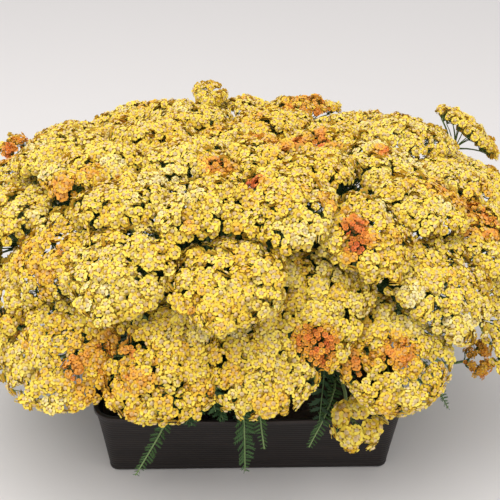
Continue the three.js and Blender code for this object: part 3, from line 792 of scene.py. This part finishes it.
def make_head(head, material):
    """One flower head: florets over its top and under its rim, on branches that meet at its stem."""
    points, normals, tone, bud, owner = place_top(head)
    skirt_points, skirt_normals, skirt_tone, skirt_bud = place_skirt(head)
    nearest = np.linalg.norm(skirt_points[:, None] - points[None], axis=2).argmin(1)
    points = np.concatenate([points, skirt_points])
    normals = np.concatenate([normals, skirt_normals])
    tone = np.concatenate([tone, skirt_tone])
    bud = np.concatenate([bud, skirt_bud])
    owner = np.concatenate([owner, owner[nearest]])
    count = len(points)
    normals = unit(normals + draw.normal(0, floret_tilt, points.shape))
    points = points + head.face * draw.uniform(-floret_lift, floret_lift, (count, 1))
    points = np.clip(points, box_low, box_high)
    tones = np.clip(tone + draw.normal(0, tone_spread, count), 0.03, 0.97)
    sizes = floret_scales.get(head.name, 1.0) * draw.uniform(0.84, 1.14, count)
    axes = axes_about(normals, draw.uniform(0, 2 * math.pi, count))
    shape = Shape()
    kind = draw.integers(1000, size=count)
    for templates, chosen in ((open_florets, ~bud), (bud_florets, bud)):
        for number, template in enumerate(templates):
            mine = chosen & (kind % len(templates) == number)
            scales = np.repeat(sizes[mine, None], 3, 1)
            shape.scatter(template, points[mine], axes[mine], scales, tones[mine])
    feet = points - normals * (calyx_depth * sizes)[:, None]
    add_branches(shape, head, points, feet, owner)
    make_piece("florets_" + head.name, shape, material, [head.name])


# Stems and leaves

def curve_through(controls, count):
    """Evenly spaced points along the centripetal Catmull-Rom curve through the controls."""
    p = np.array(controls, float)
    p = np.concatenate([[2 * p[0] - p[1]], p, [2 * p[-1] - p[-2]]])
    fine = []
    for k in range(1, len(p) - 2):
        d0, d1, d2 = (np.sqrt(np.linalg.norm(p[k + i] - p[k + i - 1])) for i in range(3))
        t1 = ((p[k] - p[k - 1]) / d0 - (p[k + 1] - p[k - 1]) / (d0 + d1) + (p[k + 1] - p[k]) / d1) * d1
        t2 = ((p[k + 1] - p[k]) / d1 - (p[k + 2] - p[k]) / (d1 + d2) + (p[k + 2] - p[k + 1]) / d2) * d1
        t = np.linspace(0, 1, 24, endpoint=False)[:, None]
        fine.append(
            (2 * t**3 - 3 * t**2 + 1) * p[k] + (t**3 - 2 * t**2 + t) * t1
            + (3 * t**2 - 2 * t**3) * p[k + 1] + (t**3 - t**2) * t2
        )
    fine = np.concatenate([*fine, p[-2:-1]])
    lengths = np.concatenate([[0], np.cumsum(np.linalg.norm(np.diff(fine, axis=0), axis=1))])
    wanted = np.linspace(0, lengths[-1], count)
    return np.stack([np.interp(wanted, lengths, fine[:, i]) for i in range(3)], axis=1), lengths[-1]


crowns = np.array([
    [x * crown_step_x / 2, y * crown_step_y / 2, soil_top] for y in (-1, 1) for x in (-1, 1)
], float)


def crown_for(place):
    """The number of the crown that a head or leaf belongs to."""
    aside = place[0] * plant_share_x - crowns[:, 0]
    ahead = place[1] * plant_share_y - crowns[:, 1]
    return int(np.hypot(aside, ahead).argmin())


def root_of(crown, towards, out):
    """Where a stem or leaf leaves its crown, on the side that it goes to."""
    bearing = math.atan2(towards[1] - crown[1], towards[0] - crown[0])
    return crown + [math.cos(bearing) * out, math.sin(bearing) * out, crown_rise * 0.5]


def leaflet_template(lobes, half, lobe_reach):
    """One leaflet, along X for a length of 1, with a row of short lobes that lean forwards on each side."""
    shape = Shape()
    points = [[0, -0.6 * half, 0], [0, 0.6 * half, 0], [0.5, -half, 0.06], [0.5, half, 0.06], [1.0, 0, -0.04]]
    maps = [[0, 0.6], [0.02, 0.6], [0, 0.35], [0.02, 0.35], [0, 0.05]]
    faces = [[0, 2, 1], [1, 2, 3], [2, 4, 3]]
    for k in range(lobes):
        x = 0.2 + 0.56 * k / (lobes - 1)
        for side in (-1, 1):
            start = len(points)
            reach = lobe_reach * (1 - 0.45 * x)
            near = 0.5 * half * side
            points += [[x - 0.08, near, 0.02], [x + 0.1, near, 0.02], [x + 0.2, reach * side, 0.12]]
            maps += [[0, 0.4], [0.02, 0.4], [0.01, 0.0]]
            faces.append([start, start + 1, start + 2] if side > 0 else [start + 1, start, start + 2])
    shape.add(points, faces, maps)
    return shape


def add_leaf(shape, path, blade, half_width, pairs, tone, template, roll=0.0, stalk_radius=leaf_stalk):
    """A feathery leaf along a path: a stalk, and leaflets in pairs over the last part of it.

    Roll is the most that the leaf as a whole turns about its stalk.
    """
    count = len(path)
    shape.tube(path, np.linspace(stalk_radius, 0.4 * stalk_radius, count), 4, [tone, 0.95])
    lengths = np.concatenate([[0], np.cumsum(np.linalg.norm(np.diff(path, axis=0), axis=1))])
    share = (np.arange(pairs) + 0.5) / pairs
    wanted = lengths[-1] - blade * (1 - share)
    at = np.stack([np.interp(wanted, lengths, path[:, i]) for i in range(3)], axis=1)
    tangents = unit(np.gradient(path, axis=0))
    along = unit(np.stack([np.interp(wanted, lengths, tangents[:, i]) for i in range(3)], axis=1))
    end = path[-1] - path[0]
    sideways = unit(np.array([end[1], -end[0], 1e-6]))
    over = unit(np.cross(sideways, along))
    turn = draw.uniform(-roll, roll)
    c, s = math.cos(turn), math.sin(turn)
    sideways, over = c * sideways + s * over, c * over - s * sideways
    long = half_width * np.sin(math.pi * (0.15 + 0.78 * share)) ** 0.7
    for side in (-1, 1):
        lift = np.tan(np.radians(draw.uniform(-12, 38, len(at))))[:, None]
        slant = np.tan(np.radians(draw.uniform(22, 38, len(at))))[:, None]
        out = unit(side * sideways + slant * along + lift * over)
        forwards = unit(along - out * (along * out).sum(1, keepdims=True))
        axes = np.stack([out, forwards, np.cross(out, forwards)], axis=1)
        sizes = np.repeat((long * draw.uniform(0.85, 1.15, len(at)))[:, None], 3, 1)
        shape.scatter(template, at, axes, sizes, tone + draw.uniform(-0.08, 0.08, len(at)))


def mulberry(start):
    """The seeded source of even draws that the part's source uses."""
    state = start
    while True:
        state = (state + 0x6D2B79F5) & 0xFFFFFFFF
        t = ((state ^ (state >> 15)) * (1 | state)) & 0xFFFFFFFF
        t = ((t + (((t ^ (t >> 7)) * (61 | t)) & 0xFFFFFFFF)) & 0xFFFFFFFF) ^ t
        yield ((t ^ (t >> 14)) & 0xFFFFFFFF) / 4294967296


def planned_leaves():
    """The leaves over the rim, as in the part's source: crown, controls and half width."""
    for via, tip, width in front_leaves:
        root = root_of(crowns[crown_for(tip)], tip, leaf_root_out)
        yield crown_for(tip), [root, *via, tip], width
    leaf_draw = mulberry(leaf_seed)
    for i in range(outer_leaf_count):
        along = (i + 0.5) / outer_leaf_count
        turn = outer_leaf_start + outer_leaf_span * along + (next(leaf_draw) * 2 - 1) * outer_leaf_turn_spread
        out = np.array([math.cos(turn), math.sin(turn), 0])
        edge = 1 / max(abs(out[0]) / (pot_rim_width / 2), abs(out[1]) / (pot_rim_depth / 2))
        stops = []
        for distance, height, spread in outer_leaf_stops:
            z = height + (next(leaf_draw) * 2 - 1) * spread
            stops.append(out * (edge + distance) + [0, 0, z])
        stops[2] = stops[2] + out * (next(leaf_draw) * 2 - 1) * outer_leaf_tip_spread
        crown = crown_for(stops[2])
        yield crown, [root_of(crowns[crown], stops[2], leaf_root_out), *stops], outer_leaf_width


def make_plants(heads, material):
    """The four plants: stems to their heads, the leaves of the solids, and smaller leaves between them."""
    shapes = [Shape() for _ in crowns]
    leaflet = leaflet_template(4, 0.06, 0.22)
    wide_leaflet = leaflet_template(3, 0.15, 0.3)
    for head in heads:
        for seat, under in zip(head.seats, head.unders):
            at = seat + head.face * under
            index = crown_for(at)
            foot = root_of(crowns[index], at, crown_radius * foot_share)
            top = seat - head.face * (clearance + seat_gap)
            below = at - head.face * (under + stem_straight)
            if head.name in stray_stems:
                controls = [foot, *stray_stems[head.name], top]
            else:
                rise = foot + stem_out * (below - foot)
                rise[2] = foot[2] + stem_up * (below[2] - foot[2])
                controls = [foot, rise, below, top]
            path, _ = curve_through(controls, 14)
            tone = draw.uniform(0.25, 0.75)
            shapes[index].tube(path, np.linspace(*stem_radii, len(path)), 6, [tone, 0.95])
            for _ in range(stem_leaves):
                start = path[draw.integers(3, 11)]
                bearing = math.atan2(-start[1], -start[0]) + draw.uniform(-stem_leaf_turn, stem_leaf_turn)
                way = np.array([math.cos(bearing), math.sin(bearing), 0])
                long = draw.uniform(*stem_leaf_reach)
                tip = start + long * 0.86 * way + [0, 0, long * draw.uniform(-0.25, 0.4)]
                if (np.abs(tip) > leaves_within).any():
                    continue
                bend = start + long * 0.42 * way + [0, 0, long * 0.3]
                leaf, _ = curve_through([start, bend, tip], 7)
                tone = draw.uniform(0.0, 0.5)
                add_leaf(shapes[index], leaf, long * 0.86, stem_leaf_width, 13, tone, wide_leaflet, roll=1.2)
            for _ in range(high_leaves):
                start = path[draw.integers(9, 12)]
                bearing = draw.uniform(0, 2 * math.pi)
                way = np.array([math.cos(bearing), math.sin(bearing), 0])
                way = unit(way - head.face * (way @ head.face))
                long = draw.uniform(*high_leaf_reach)
                tip = start + long * 0.55 * way - head.face * draw.uniform(0, 16)
                if (np.abs(tip) > leaves_within).any() or tip[2] < high_leaf_lowest:
                    continue
                bend = start + long * 0.3 * way + head.face * 2
                leaf, _ = curve_through([start, bend, tip], 6)
                tone = draw.uniform(0.0, 0.5)
                add_leaf(shapes[index], leaf, long * 0.6, high_leaf_width, 10, tone, wide_leaflet, roll=0.4)
    for number, (crown, controls, width) in enumerate(planned_leaves()):
        path, length = curve_through(controls, 16)
        blade = min(blade_length, length - least_stalk)
        share = front_leaf_shares[number] if number < len(front_leaf_shares) else 1.0
        tone = draw.uniform(0.5, 0.7)
        half = width * share
        add_leaf(shapes[crown], path, blade, half, front_leaf_pairs, tone, leaflet, stalk_radius=front_leaf_stalk)
    for k in range(rim_leaves):
        first, last = rim_leaf_span
        x = first + (last - first) * (k + draw.uniform(0.2, 0.8)) / rim_leaves
        front = -pot_rim_depth / 2
        root = crowns[0] + [0, -leaf_root_out, crown_rise * 0.5]
        over = [x, front + draw.uniform(8, 18), draw.uniform(98, 112)]
        tip = [x + draw.uniform(-12, 12), front - draw.uniform(7, 16), draw.uniform(72, 92)]
        path, _ = curve_through([root, over, tip], 10)
        tone = draw.uniform(0.15, 0.5)
        add_leaf(shapes[0], path, rim_leaf_blade, rim_leaf_width, 12, tone, wide_leaflet, roll=0.6)
    for index, crown in enumerate(crowns):
        for k in range(crown_leaves):
            bearing = 2 * math.pi * (k + draw.uniform(-0.3, 0.3)) / crown_leaves
            way = np.array([math.cos(bearing), math.sin(bearing), 0])
            long = draw.uniform(*crown_leaf_reach)
            start = crown + way * leaf_root_out + [0, 0, crown_rise * 0.5]
            bend = start + way * long * 0.35 + [0, 0, long * draw.uniform(0.3, 0.55)]
            tip = start + way * long * 0.75 + [0, 0, long * draw.uniform(0.2, 0.65)]
            path, _ = curve_through([start, bend, tip], 9)
            tone = draw.uniform(0.0, 0.45)
            add_leaf(shapes[index], path, long * 0.8, crown_leaf_width, 15, tone, wide_leaflet, roll=0.5)
        knob = np.array([[0, 0, -20], [0, 0, -4], [0, 0, 3], [0, 0, crown_rise]]) + crown
        shapes[index].tube(knob, [9, 13, 12, 7], 12, [0.3, 0.9])
        make_piece(f"foliage_{index + 1}", shapes[index], material, [f"plant_{index + 1}"])


# Trough and soil

def pot_section(z, inset, bow):
    """A level section of the pot: a rounded rectangle whose sides bulge by bow."""
    half = np.array([pot_rim_width / 2 - inset, pot_rim_depth / 2 - inset])
    radius = max(pot_corner - inset, least_corner)
    ring = []
    corners = [(1, -1, -90), (1, 1, 0), (-1, 1, 90), (-1, -1, 180)]
    for c, (sx, sy, start) in enumerate(corners):
        middle = np.array([sx, sy]) * (half - radius)
        turns = np.radians(start + 90 * np.arange(corner_steps + 1) / corner_steps)
        ring += [middle + radius * np.array([math.cos(a), math.sin(a)]) for a in turns]
        nx, ny, after = corners[(c + 1) % 4]
        turn = math.radians(after)
        there = np.array([nx, ny]) * (half - radius) + radius * np.array([math.cos(turn), math.sin(turn)])
        here = ring[-1]
        ring += [here + (there - here) * i / side_steps for i in range(1, side_steps)]
    ring = np.array(ring)
    bulge = np.maximum(1 - (ring[:, ::-1] / half[::-1]) ** 2, 0)
    ring += np.sign(ring) * bow * bulge
    return np.column_stack([ring, np.full(len(ring), z)])


def lean_at(z):
    """How far the wall's outside is inset at a height."""
    return lip_out + pot_taper * (1 - max(z - foot_band, 0) / (pot_height - foot_band))


def bow_at(z):
    return pot_bow * (z / pot_height) ** 2


def closed_body(rings):
    """The points and triangles of a skin over level rings, closed at its first and last ring."""
    sides = len(rings[0])
    points = np.concatenate([*rings, rings[0].mean(0)[None], rings[-1].mean(0)[None]])
    faces = skin(len(rings), sides)
    last = (len(rings) - 1) * sides
    for i in range(sides):
        faces.append([(i + 1) % sides, i, len(points) - 2])
        faces.append([last + i, last + (i + 1) % sides, len(points) - 1])
    return points, faces


def make_pot(material):
    """The trough: rounded foot, upright foot band, ridged leaning walls and a rolled lip."""
    foot = lean_at(0)
    outer = []
    for turn in np.radians([0, 30, 60, 90]):
        outer.append((foot_round * (1 - math.sin(turn)), foot + foot_round * (1 - math.cos(turn))))
    outer.reverse()
    outer += [(foot_band - 0.6, foot), (foot_band, foot + 0.5)]
    top = pot_height - lip_height
    ridges = int((top - foot_band) / ridge_pitch)
    pitch = (top - foot_band - 1.6) / ridges
    for k in range(ridges):
        z = foot_band + 0.8 + k * (top - foot_band - 1.6) / ridges
        for share, depth in ((0.0, ridge_depth), (0.3, 0.0), (0.75, 0.0)):
            outer.append((z + share * pitch, lean_at(z + share * pitch) + depth))
    outer += [(top, lean_at(top)), (top + 0.5, 0.5), (top + 1.4, 0.0)]
    outer += [(pot_height - 1.2, 0.0), (pot_height - 0.3, 0.4)]
    inner = [(pot_height, 1.2), (pot_height, pot_wall - 0.4)]
    inner += [(pot_height - 0.6, lean_at(pot_height) + pot_wall)]
    inner += [(z, lean_at(z) + pot_wall) for z in (soil_top, pot_height / 2, pot_floor)]
    rings = [pot_section(z, inset, bow_at(z)) for z, inset in [*outer, *inner]]
    shape = Shape()
    shape.add(*closed_body(rings), [0.5, 0.5])
    piece = make_piece("trough", shape, material, ["pot"])
    piece.data.uv_layers.remove(piece.data.uv_layers[MAP])


def crumb_template():
    """A rough lump of soil, about 1 in radius."""
    shape = Shape()
    points = np.array([[1, 0, 0], [-1, 0, 0], [0, 1, 0], [0, -1, 0], [0, 0, 1], [0, 0, -1]], float)
    points *= draw.uniform(0.7, 1.3, (6, 1))
    faces = [[0, 2, 4], [2, 1, 4], [1, 3, 4], [3, 0, 4], [2, 0, 5], [1, 2, 5], [3, 1, 5], [0, 3, 5]]
    shape.add(points, faces, [0.5, 0.5])
    return shape


def make_soil(material):
    """The potting soil: an uneven top with crumbs, over a body that fills the trough."""
    shape = Shape()
    levels = (pot_floor + clearance, 40, 62)
    rings = [pot_section(z, lean_at(z) + pot_wall + soil_gap, bow_at(z)) for z in levels]
    edge = pot_section(soil_top - 1.5, lean_at(soil_top) + pot_wall + soil_gap, bow_at(soil_top))
    for share in np.linspace(1, 0.06, soil_rings):
        ring = edge * [share, share, 1]
        ring[:, 2] += draw.uniform(*soil_roughness, len(ring))
        rings.append(ring)
    shape.add(*closed_body(rings), [0.5, 0.5])
    reach = [pot_rim_width / 2 - crumb_border, pot_rim_depth / 2 - crumb_border]
    places = draw.uniform(-1, 1, (crumb_count, 2)) * reach
    at = np.column_stack([places, np.full(crumb_count, soil_top - 0.8)])
    axes = axes_about(unit(draw.normal(0, 1, (crumb_count, 3))), draw.uniform(0, crumb_turn, crumb_count))
    sizes = draw.uniform(*crumb_radii, (crumb_count, 1)) * draw.uniform(0.7, 1.2, (crumb_count, 3))
    shape.scatter(crumb_template(), at, axes, sizes, np.zeros(crumb_count))
    piece = make_piece("potting_soil", shape, material, ["soil"], smooth=False)
    piece.data.uv_layers.remove(piece.data.uv_layers[MAP])


# Camera, floor and light

camera_at = (-0.0327834, -0.7862553, 0.6012505)
camera_pitch = 28.0
camera_yaw = 2.607
camera_roll = 1.1415
focal_pixels = 800
picture_pixels = 500
sensor = 36.0
floor_width = 24
floor_gap = 0.0004  # under the trough
sky_strength = 0.96
lamps_aim = (0, 0, 0.2)


def make_camera():
    pitch, yaw, roll = (math.radians(a) for a in (camera_pitch, camera_yaw, camera_roll))
    forward = np.array([math.sin(yaw) * math.cos(pitch), math.cos(yaw) * math.cos(pitch), -math.sin(pitch)])
    level = np.array([math.cos(yaw), -math.sin(yaw), 0])
    upright = np.cross(level, forward)
    right = level * math.cos(roll) + upright * math.sin(roll)
    up = upright * math.cos(roll) - level * math.sin(roll)
    data = bpy.data.cameras.new("camera")
    data.sensor_width = sensor
    data.lens = sensor * focal_pixels / picture_pixels
    camera = bpy.data.objects.new("camera", data)
    matrix = np.eye(4)
    matrix[:3, 0], matrix[:3, 1], matrix[:3, 2], matrix[:3, 3] = right, up, -forward, camera_at
    camera.matrix_world = Matrix(matrix.tolist())
    bpy.context.scene.collection.objects.link(camera)
    bpy.context.scene.camera = camera


def make_floor():
    material, _, shader = new_material("floor", 0.9)
    shader.inputs["Base Color"].default_value = linear(222, 218, 215)
    mesh = bpy.data.meshes.new("floor")
    half = floor_width / 2
    corners = [(-half, -half, 0), (half, -half, 0), (half, half, 0), (-half, half, 0)]
    mesh.from_pydata(corners, [], [(0, 1, 2, 3)])
    mesh.materials.append(material)
    floor = bpy.data.objects.new("floor", mesh)
    floor.location.z = -floor_gap
    bpy.context.scene.collection.objects.link(floor)


def add_lamp(name, at, size, power):
    data = bpy.data.lights.new(name, "AREA")
    data.shape = "DISK"
    data.size = size
    data.energy = power
    lamp = bpy.data.objects.new(name, data)
    way = unit(np.array(at) - np.array(lamps_aim))
    axes = axes_about(way[None], np.zeros(1))[0]
    matrix = np.eye(4)
    matrix[:3, :3] = axes.T
    matrix[:3, 3] = at
    lamp.matrix_world = Matrix(matrix.tolist())
    bpy.context.scene.collection.objects.link(lamp)


def make_light():
    world = bpy.data.worlds.new("studio")
    world.use_nodes = True
    sky = world.node_tree.nodes["Background"]
    sky.inputs["Color"].default_value = linear(244, 244, 246)
    sky.inputs["Strength"].default_value = sky_strength
    bpy.context.scene.world = world
    add_lamp("key", at=(-0.9, -0.8, 2.4), size=2.2, power=36)
    add_lamp("fill", at=(1.8, -0.9, 1.4), size=1.6, power=7)
    bpy.context.scene.view_settings.view_transform = "Standard"


box_low = np.array(cad_low) / MM + box_margin
box_high = np.array(cad_high) / MM - box_margin
open_florets = [open_floret(count) for count in (5, 5, 5, 4, 5)]
bud_florets = [bud_floret(count) for count in (5, 6, 5)]
stalk = stalk_template()
head_names = [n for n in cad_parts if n.endswith("_head") or n.startswith("flower_head")]
all_heads = [Head(name) for name in sorted(head_names)]
florets = floret_material()
for flower_head in all_heads:
    make_head(flower_head, florets)
make_plants(all_heads, foliage_material())
make_pot(pot_material())
make_soil(soil_material())
make_floor()
make_camera()
make_light()
